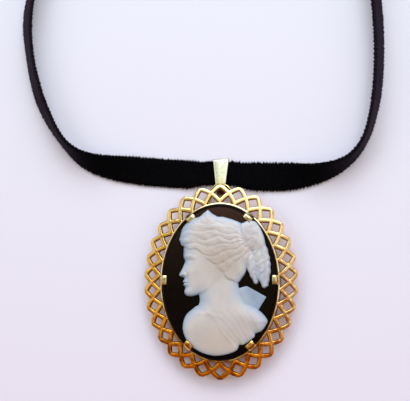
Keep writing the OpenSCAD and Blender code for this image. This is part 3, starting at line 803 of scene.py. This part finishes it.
def carving_height(p, deep):
    """Height above the stone's face: a soft pillow under all the masses, each set off by a small step."""
    x, y = p[:, 0], p[:, 1]
    d = {k: signed_inside(p, line) for k, line in SMOOTH.items()}
    _, across, _ = lock_field(p)
    inner = ease(deep, 0.5, 1.8)
    hairline = d["hair"] + inner * (0.5 * np.sin(math.pi * across) - 0.45 + 0.4 * cloud(x * 0.8 + 5, y * 0.8))
    in_hair = ease(hairline, -0.3 * inner - 0.1, 0.5 * inner + 0.12)
    in_head = ease(d["head"], -0.5, 0.5)
    in_chest = ease(d["chest"], -0.6, 2.4)
    pillow = 0.34 + 1.02 * dome(deep, 4.6, 0.6)

    h = pillow - 0.2 + 0.11 * ease(x, -5.0, 2.0) + 0.1 * in_chest
    h -= 0.07 * soft_line(p, [(-3.6, -2.6), (-2.9, -5.2), (-1.6, -7.4)], 0.9) * (1 - in_chest)
    h += modelled(p, SHOULDERS)
    hem = x + 0.8 * (y + 11.6) + 0.35 * np.sin(y * 0.8)
    cloth = ease(hem, -0.45, 0.5) * ease(y, -6.0, -8.6)
    fold = 0.86 * x + 0.5 * y + 0.9 * cloud(x * 0.16 + 3, y * 0.16) + 0.5 * np.sin((x - y) * 0.3)
    folds = 0.034 * np.cos(fold * 2.1) * (0.6 + 0.6 * cloud(x * 0.3, y * 0.22)) + 0.014 * np.cos(fold * 5.1 + 0.7 * y)
    h += cloth * dome(deep, 0.7) * (0.05 + folds + 0.025 * bell(hem, 0.35, 0.3))

    face = pillow + modelled(p, FACE)
    h = h + in_head * np.maximum(face - h, 0.0)
    h -= 0.05 * bell(d["head"], -0.35, 0.5) * ease(x, -2.5, -6.5) * ease(y, -8.0, -5.0)

    locks = pillow + 0.15 + 0.07 * bump_at(p, -1.5, 10.5, 5.5, 4.0) + dome(d["hair"], 0.8) * hair_relief(p)
    h = h + in_hair * (locks - h)

    low = 0.66 + 0.3 * dome(d["curls"], 1.6) + 0.07 * cloud(x * 1.6, y * 1.1) + 0.05 * cloud(x * 2.7, y * 2.2)
    h = h + ease(d["curls"], -0.1, 0.4) * (1 - ease(d["hair"], -0.1, 0.5)) * (low - h)

    swirl, far = np.arctan2(y - 11.6, x - 8.4), np.hypot(x - 8.4, y - 11.6)
    warp = far * 2.0 + 0.9 * cloud(x * 0.9, y * 0.9)
    bun = pillow * 0.35 + 0.42 + 0.8 * dome(d["bun"], 2.8, 0.55)
    bun += dome(d["bun"], 0.8) * (0.06 * np.cos(swirl * 3 + warp) + 0.022 * np.cos(swirl * 11 + warp * 3)
                                  + 0.05 * cloud(x * 1.3, y * 1.3))
    h = h + ease(d["bun"], -0.15, 0.4) * (np.maximum(bun, h - 0.1) - h)

    dd = d["diadem"]
    crown = pillow + 0.2 + 0.045 * bell(dd, 0.34, 0.18) - 0.035 * bell(dd, 0.7, 0.16)
    crown += modelled(p, JEWELS) + 0.03 * cloud(x * 1.4, y * 1.4)
    h = h + ease(dd, -0.15 * inner, 0.3) * (crown - h)
    band = soft_line(p, [(-6.9, 15.2), (-3.4, 14.0), (0.6, 14.3), (4.4, 14.0)], 0.4)
    h += 0.06 * band * ease(d["hair"], 0.1, 0.6)
    h = np.where(massed(p) > 0, h, 0)

    drape = 0.2 + 0.1 * dome(d["scarf"], 0.4) + 0.3 * ease(x + 0.5 * y, 7.0, 4.2)
    drape += 0.022 * np.cos((x * 0.72 - y * 0.69) * 3.1 + cloud(x * 0.5, y * 0.5))
    h = np.maximum(h, np.where(d["scarf"] > 0, drape, 0))
    for k in range(3):
        s, body, phase = ringlet_field(p, k)
        lift = 0.36 + (0.86 - 0.07 * k) * body + np.sqrt(body) * (
            0.06 * np.cos(phase) + 0.02 * np.cos(phase * 4 + 1) + 0.05 * cloud(x * 1.5 + 4 * k, y * 1.5))
        lift *= 1 - 0.15 * ease(-y, -3.0, 1.0)
        top = np.maximum(h, np.where(s > 0, lift, 0))
        both = (s > 0) & (h > 0)
        eased = h + 0.09 * np.log1p(np.exp(np.clip((lift - h) / 0.09, -30, 30)))
        h = np.where(both, np.minimum(eased, top + 0.07), top)
    return np.clip(h, 0.2, 1.98)


def turning(q):
    """Positive for an outline that runs anticlockwise."""
    return np.sum(q[:, 0] * np.roll(q[:, 1], -1) - np.roll(q[:, 0], -1) * q[:, 1])


def carved_bust(step=0.095):
    """A grid trimmed to the bust's outline: its rim points are moved onto it, and walls go down from them."""
    xs, ys = np.arange(-10.9, 13.9, step), np.arange(-19.3, 19.4, step)
    gx, gy = np.meshgrid(xs, ys)
    p = np.stack([gx.ravel(), gy.ravel()], axis=1)
    d = silhouette(p)
    near = np.abs(d) < 0.75 * step
    moved = p.copy()
    q = onto_outline(silhouette, p[near])
    shift = norm(q - p[near], axis=1)
    moved[near] = np.where(shift[:, None] < step, q, p[near])
    kept = ((d > 0) | near).reshape(len(ys), len(xs))
    nx = len(xs)
    cell = kept[:-1, :-1] & kept[1:, :-1] & kept[:-1, 1:] & kept[1:, 1:]
    middle = np.stack([gx[:-1, :-1].ravel() + step / 2, gy[:-1, :-1].ravel() + step / 2], axis=1)
    full = (silhouette(middle) > 0).reshape(cell.shape) & cell
    jj, ii = np.nonzero(full)
    a = jj * nx + ii
    used, place = np.unique(np.stack([a, a + 1, a + nx + 1, a + nx], axis=1), return_inverse=True)
    quads = place.reshape(-1, 4)
    top = moved[used]
    mass = massed(p)
    rim = onto_outline(massed, p[np.abs(mass) < 0.75 * step])
    z = carving_height(top, depth_inside(top, rim))
    n = len(used)
    sides = dict.fromkeys((f[k], f[(k + 1) % 4]) for f in quads.tolist() for k in range(4))
    edges = [side for side in sides if side[::-1] not in sides]
    after = {}
    for e1, e2 in edges:
        after.setdefault(e1, []).append(e2)
    loops = []
    while after:
        here, loop = next(iter(after)), []
        while here not in loop[:1]:
            loop.append(here)
            there = after[here].pop()
            if not after[here]:
                del after[here]
            here = there
        loops.append(loop)
    low = {k: n + i for i, k in enumerate(sorted({k for loop in loops for k in loop}))}
    walls = [[e1, low[e1], low[e2], e2] for e1, e2 in edges]
    gaps = [loop for loop in loops if turning(top[loop]) < 0]
    bottom = []
    for island in (loop for loop in loops if turning(top[loop]) > 0):
        rings = [island] + [gap for gap in gaps if signed_inside(top[gap[:1]], top[island])[0] > 0]
        flat = [k for ring in rings for k in ring]
        for tri in tessellate_polygon([[Vector((*top[k], 0)) for k in ring] for ring in rings]):
            a, b, c = (flat[k] for k in tri)
            u, v = top[b] - top[a], top[c] - top[a]
            bottom.append([low[a], low[c], low[b]] if u[0] * v[1] - u[1] * v[0] > 0 else [low[a], low[b], low[c]])
    lower = np.array([(*top[k], FACE_Z + 0.02) for k in sorted(low)])
    verts = np.concatenate([np.column_stack([top, FACE_Z + 0.02 + z]), lower])
    return verts, quads.tolist() + walls + bottom


make_object("carved_bust", *carved_bust(), MILK, "white_stone", ["cameo_relief"], sharp=60)


# The bail

BAIL_T, BAIL_TOP_W, BAIL_LOOP_W, BAIL_FOOT_W = 0.35, 4.15, 2.6, 2.1
LOOP_TOP_Y = LOOP_Y + LOOP_R - LOOP_WIRE / 2
BAIL_FOOT_Y = LOOP_Y
GATHER = 0.14
BAIL_TOP_Y = RIBBON_Y + RIBBON_W * (1 - GATHER) / 2 + RIBBON_FIT + BAIL_T
BAIL_HIGH_Z = LOOP_Z + LOOP_WIRE / 2 + 0.1 + BAIL_T


def hull_line(circles, inset):
    """The tight line round some circles (along, height, radius), each made smaller by inset."""
    points = np.array([(y + (r - inset) * math.cos(a), z + (r - inset) * math.sin(a))
                       for y, z, r in circles for a in np.radians(np.arange(0, 360, 6))])
    order = points[np.lexsort((points[:, 1], points[:, 0]))]

    def turns(a, b):
        return a[0] * b[1] - a[1] * b[0]

    def half(rows):
        out = []
        for p in rows:
            while len(out) > 1 and turns(out[-1] - out[-2], p - out[-1]) <= 1e-12:
                out.pop()
            out.append(p)
        return out[:-1]
    return np.array(half(order) + half(order[::-1]))


def evenly(line, count):
    """The same number of even steps round any closed line."""
    closed = np.vstack([line, line[:1]])
    s = lengths(closed)
    at = np.linspace(0, s[-1], count, endpoint=False)
    return np.column_stack([np.interp(at, s, closed[:, 0]), np.interp(at, s, closed[:, 1])])


def bail():
    fold, crown = BAIL_T + 0.25, BAIL_T + 0.15
    circles = [(BAIL_FOOT_Y + fold, fold, fold), (BAIL_FOOT_Y + fold, 2 * fold, fold),
               (LOOP_TOP_Y - 0.6, BAIL_HIGH_Z - crown, crown), (LOOP_TOP_Y, BAIL_HIGH_Z - crown, crown),
               (BAIL_TOP_Y - fold, RIBBON_Z + RIBBON_T + RIBBON_FIT + BAIL_T - fold, fold),
               (BAIL_TOP_Y - fold, fold, fold)]
    middle = evenly(hull_line(circles, BAIL_T / 2), 150)
    sections = []
    n = len(middle)
    for i, (y, z) in enumerate(middle):
        run = middle[(i + 1) % n] - middle[i - 1]
        run /= norm(run)
        out = np.array([run[1], -run[0]])
        wide = np.interp(y, [BAIL_FOOT_Y, LOOP_TOP_Y, BAIL_TOP_Y], [BAIL_FOOT_W, BAIL_LOOP_W, BAIL_TOP_W])
        w, t, chamfer = wide / 2, BAIL_T / 2, 0.34
        section = [(-w + chamfer, t), (w - chamfer, t), (w - 0.1, t - 0.05), (w - 0.03, t - 0.09), (w, t - 0.16),
                   (w, 0.03 - t), (w - 0.04, -t), (0.04 - w, -t), (-w, 0.03 - t), (-w, t - 0.16),
                   (0.03 - w, t - 0.09), (0.1 - w, t - 0.05)]
        sections.append([(a, y + out[0] * b, z + out[1] * b) for a, b in section])
    return loft(sections, ring=True)


make_object("bail_strap", *bail(), PALE_GOLD, "pale_gold", ["bail"], sharp=20)


# The ribbon and its clasp

# Its route in rows (x, y, roll in degrees); beyond the clasp in rows (away from the clasp, short of it, roll)
FAR_TURN = [(0.3, 0, 90), (CLASP_L / 2 + 0.2, 0, 90), (8.1, 0.2, 90), (15.6, 2.8, 89), (24.1, 8.3, 87),
            (32.1, 16.6, 84), (38, 27, 80)]
NEAR_WAY = [
    (-47.4, 63.6, 70), (-49.5, 52.1, 62), (-51.3, 41.6, 60), (-50.5, 31.1, 64), (-48.3, 21.6, 62),
    (-45.8, 15.6, 65), (-43.3, 11.2, 71), (-40.6, 7.6, 72), (-37.3, 4.7, 62), (-33.6, 2.9, 50),
    (-29, 1.8, 36), (-24, 1.2, 20), (-17.5, 0.5, 6), (-9, -0.1, 0), (-4, 0, 0), (0, 0, 0),
    (2.4, 0, 0), (4.8, -0.35, 0), (8, -0.85, 0), (14, -1.1, 6), (18.5, -1.1, 22), (22.5, -0.9, 42),
    (26.5, -0.2, 55), (30.5, 1.2, 69), (34, 3.5, 79), (36.8, 7.1, 83), (38.8, 12, 81), (40.5, 20.6, 76),
    (41.1, 31.6, 74), (40.6, 42.6, 72), (39.3, 53.1, 74), (37.2, 64.1, 79)]
ROUTE = ([(CLASP_X - away, CLASP_UP - short, roll) for away, short, roll in FAR_TURN] + NEAR_WAY
         + [(CLASP_X + away, CLASP_UP - short, roll) for away, short, roll in reversed(FAR_TURN)])
LEVEL_RUN = BAIL_TOP_W / 2 + 2.5
# Its woven edges ripple in their own plane and wave out of it, each in a pitch, a regular and a random amount
RIPPLE_PITCH, RIPPLE, RIPPLE_SWELL = 0.84, 0.15, 0.3
WAVE_PITCH, WAVE, WAVE_SWELL = 1.06, 0.26, 0.34
FIBRE_MIN, FIBRE_MAX, FUZZ = 0.15, 0.5, 0.035


def fade(d, flat, span):
    share = min(max((d - flat) / (span - flat), 0), 1)
    return (1 + math.cos(math.pi * share)) / 2


def fibre(root, tip, thick=0.075):
    """One stray pile fibre, a thin spike."""
    run = (tip - root) / norm(tip - root)
    a = np.cross(run, [0.3, 0.5, 0.81])
    a *= thick / norm(a)
    b = np.cross(run, a)
    foot = [root + a, root - a / 2 + b * 0.87, root - a / 2 - b * 0.87]
    return foot + [tip], [[0, 2, 1], [0, 1, 3], [1, 2, 3], [2, 0, 3]]


def swell(x, y, z):
    return noise.noise(Vector((x, y, z)))


def ribbon(step=0.14):
    """The strip along its route: a plump pile face outside, a flatter back, and thin woven edges that ripple."""
    line = smooth_line(ROUTE, 24)
    s = lengths(line[:, :2])
    at = np.arange(0, s[-1], step)
    line = np.column_stack([np.interp(at, s, line[:, k]) for k in range(3)])
    run = np.gradient(line[:, :2], axis=0)
    run /= norm(run, axis=1)[:, None]
    sections, fibres = [], []
    dice = np.random.default_rng(5)
    for i, (x, y, roll) in enumerate(line):
        front = y < CLASP_UP / 2
        lift = (RIBBON_Z * fade(abs(x), LEVEL_RUN, 15) if front
                else (CLASP_WALL + RIBBON_FIT) * fade(abs(x - CLASP_X), CLASP_L / 2, 15))
        gather = GATHER * fade(abs(x), LEVEL_RUN, 9) if front else 0
        a = math.radians(roll)
        inward = np.array([-run[i, 1], run[i, 0], 0])
        across = math.cos(a) * inward + np.array([0, 0, math.sin(a)])
        out = np.array([0, 0, math.cos(a)]) - math.sin(a) * inward
        half_w, half_t = RIBBON_W * (1 - gather) / 2, RIBBON_T / 2
        middle = np.array([x, RIBBON_Y + y, lift + half_w * math.sin(a) + half_t * math.cos(a)])
        ring = []
        for side in (1, -1):
            ripple = RIPPLE * math.sin(at[i] * 2 * math.pi / RIPPLE_PITCH + side)
            ripple += RIPPLE_SWELL * swell(at[i] * 1.3, side * 7, 0)
            w = half_w - 0.16 + ripple
            hidden = abs(x) < BAIL_TOP_W / 2 + 0.3 if front else abs(x - CLASP_X) < CLASP_L / 2 + 0.3
            if not hidden:
                root = middle + across * side * (w - 0.06) + out * dice.uniform(-0.1, 0.25)
                tip = root + (across * side + out * dice.uniform(-0.3, 0.7)
                              + np.append(run[i], 0) * dice.uniform(-0.9, 0.9)) * dice.uniform(FIBRE_MIN, FIBRE_MAX)
                if tip[2] > 0.1 < root[2]:
                    fibres.append(fibre(root, tip))
            wave = WAVE * math.sin(at[i] * 2 * math.pi / WAVE_PITCH + 2 * side + 2.2 * swell(at[i] * 0.5, side, 0))
            wave = math.sin(a) * (wave + WAVE_SWELL * swell(at[i] * 0.9, 5 + side, 2))
            rows = [(w - 0.9, 0.96 + wave * 0.3), (w - 0.5, 0.86 + wave * 0.7), (w - 0.22, 0.62 + wave),
                    (w - 0.06, 0.3 + wave), (w, wave), (w - 0.06, wave - 0.3), (w - 0.25, wave - 0.62),
                    (w - 0.8, wave * 0.3 - 0.8)]
            if side < 0:
                rows = rows[::-1]
            ring += [(side * across_w, k * half_t) for across_w, k in rows]
        inner = [(w * half_w, -0.84 * half_t) for w in (-0.45, 0, 0.45)]
        outer = [(w * half_w, half_t * (1.0 - 0.03 * abs(w))) for w in (-0.45, 0, 0.45)]
        ring = ring[:8] + inner[::-1] + ring[8:] + outer
        fuzz = [FUZZ * swell(at[i] * 2.6, k * 1.7, 3) for k in range(len(ring))]
        sections.append([middle + across * c + out * (t + f * (1 if t > 0 else 0)) for (c, t), f in zip(ring, fuzz)])
    verts, faces = joined([loft(sections)] + fibres)
    verts[:, 2] = np.maximum(verts[:, 2], 0)
    return verts, faces


def clasp():
    slot_w, slot_t = RIBBON_W + 2 * RIBBON_FIT, RIBBON_T + 2 * RIBBON_FIT
    w, t = slot_w + 2 * CLASP_WALL, slot_t + 2 * CLASP_WALL
    edge = 0.14
    stations = [(-CLASP_L / 2, -edge), (-CLASP_L / 2 + edge, 0), (CLASP_L / 2 - edge, 0), (CLASP_L / 2, -edge)]
    sections = [(at, rounded_box(w + 2 * d, t + 2 * d, 0.6 + d)) for at, d in stations]
    sections += [(at, rounded_box(slot_w, slot_t, 0.05)) for at in (CLASP_L / 2 - 0.02, 0.02 - CLASP_L / 2)]
    rows = [[(CLASP_X + at, RIBBON_Y + CLASP_UP + b, w / 2 + a) for a, b in section] for at, section in sections]
    return loft(rows, ring=True)


make_object("velvet_ribbon", *ribbon(), VELVET, "velvet", ["ribbon"], sharp=70)
make_object("clasp_sleeve", *clasp(), GOLD, "clasp_gold", ["clasp"], sharp=30)


# Floor, light and camera

def floor_material():
    material, tree, shader = new_material("pale_table", roughness=0.85, specular_ior_level=0.1)
    # Painted light: the table is lighter and bluer towards +Y, where the window light is, and greyer and pinker
    # towards -Y.
    along = axis_of(tree, "Y")
    base = ramp(tree, mapped(tree, along, -0.06, 0.10), [(0.0, (0.80, 0.79, 0.96)), (1.0, (0.76, 0.85, 1.0))])
    # Painted light: a lighter, pinker oval of colour under the pendant, lifting the shaded floor seen through the
    # border's holes.
    from_middle = arithmetic(tree, "ADD", *(
        arithmetic(tree, "POWER", arithmetic(tree, "MULTIPLY", axis, scale), 2.0)
        for axis, scale in ((axis_of(tree, "X"), 1 / 0.0205), (along, 1 / 0.0255))))
    base = mixed(tree, (0.97, 0.84, 0.90, 1), base, mapped(tree, from_middle, 0.75, 1.1), "MIX")
    plug(shader, base)
    return material


def make_floor(size=3.0):
    mesh = bpy.data.meshes.new("table")
    mesh.from_pydata([(-size, -size, 0), (size, -size, 0), (size, size, 0), (-size, size, 0)], [], [(0, 1, 2, 3)])
    mesh.materials.append(floor_material())
    table = add_object("table", mesh)


def area_light(name, place, size, power, colour, aim=(0, 0, 0), glossy=True):
    data = bpy.data.lights.new(name, "AREA")
    data.shape, data.size, data.size_y = "RECTANGLE", *size
    data.energy, data.color = power, colour
    light = add_object(name, data)
    light.location = place
    light.rotation_euler = (Vector(aim) - Vector(place)).to_track_quat("-Z", "Y").to_euler()
    light.visible_camera = False
    light.visible_glossy = glossy


def make_world():
    """Soft room light: bright towards +Y, warm and dim towards -Y and low down, dim where the stone mirrors it."""
    world = bpy.data.worlds.new("room")
    bpy.context.scene.world = world
    world.use_nodes = True
    tree = world.node_tree
    facing = add_node(tree, "VectorMath", {0: place_on(tree, "Generated"), 1: (-0.155, -0.01, 0.988)},
                      operation="DOT_PRODUCT")["Value"]
    along, aside, above = (axis_of(tree, axis, "Generated") for axis in "YXZ")
    tone = ramp(tree, mapped(tree, along, -0.9, 0.9), [
        (0.0, (0.18, 0.08, 0.03)), (0.33, (0.45, 0.25, 0.10)), (0.48, (0.80, 0.72, 0.66)), (0.6, (0.93, 0.95, 1.0)),
        (1.0, (0.90, 0.95, 1.0))])
    for source, stops in (
            (mapped(tree, aside, -0.3, 0.3), [(0.0, (0.88, 0.86, 0.84)), (1.0, (1.2, 1.18, 1.16))]),
            (above, [(0.1, (0.14, 0.09, 0.06)), (0.42, (1, 1, 1))]),
            (noise_on(tree, 4.5, 1.0, "Generated"), [(0.42, (0.30, 0.19, 0.10)), (0.53, (1, 1, 1))]),
            (mapped(tree, facing, 0.972, 1.0), [
                (0.0, (1, 1, 1)), (0.5, (0.6, 0.54, 0.48)), (0.8, (0.42, 0.34, 0.26)), (0.92, (0.22, 0.17, 0.11)),
                (0.985, (0.06, 0.04, 0.045))])):
        tone = mixed(tree, tone, ramp(tree, source, stops))
    background = tree.nodes["Background"]
    plug(background, tone, "Color")
    background.inputs["Strength"].default_value = 1.14


def make_camera():
    aim = Vector((-4.4, 21.4, 0)) * MM
    towards = Vector((math.tan(math.radians(8)), -math.tan(math.radians(4.5)), 1)).normalized()
    data = bpy.data.cameras.new("camera")
    data.lens, data.sensor_width = 134.8, 36
    data.clip_start, data.clip_end = 0.01, 20
    camera = add_object("camera", data)
    right = Vector((0, 1, 0)).cross(towards).normalized()
    turn = Matrix((right, towards.cross(right), towards)).transposed().to_4x4()
    camera.matrix_world = Matrix.Translation(aim + towards * 0.4) @ turn
    bpy.context.scene.camera = camera


make_floor()
make_world()
area_light("window", (0.02, 0.42, 0.40), (0.5, 0.35), 1.70, (0.97, 0.98, 1.0))
area_light("left_fill", (-0.40, 0.05, 0.50), (0.35, 0.4), 0.43, (1.0, 0.98, 0.98), glossy=False)
area_light("right_fill", (0.18, 0.08, 0.60), (0.35, 0.4), 0.78, (0.98, 0.96, 1.0), glossy=False)
make_camera()
bpy.context.scene.view_settings.view_transform = "Standard"
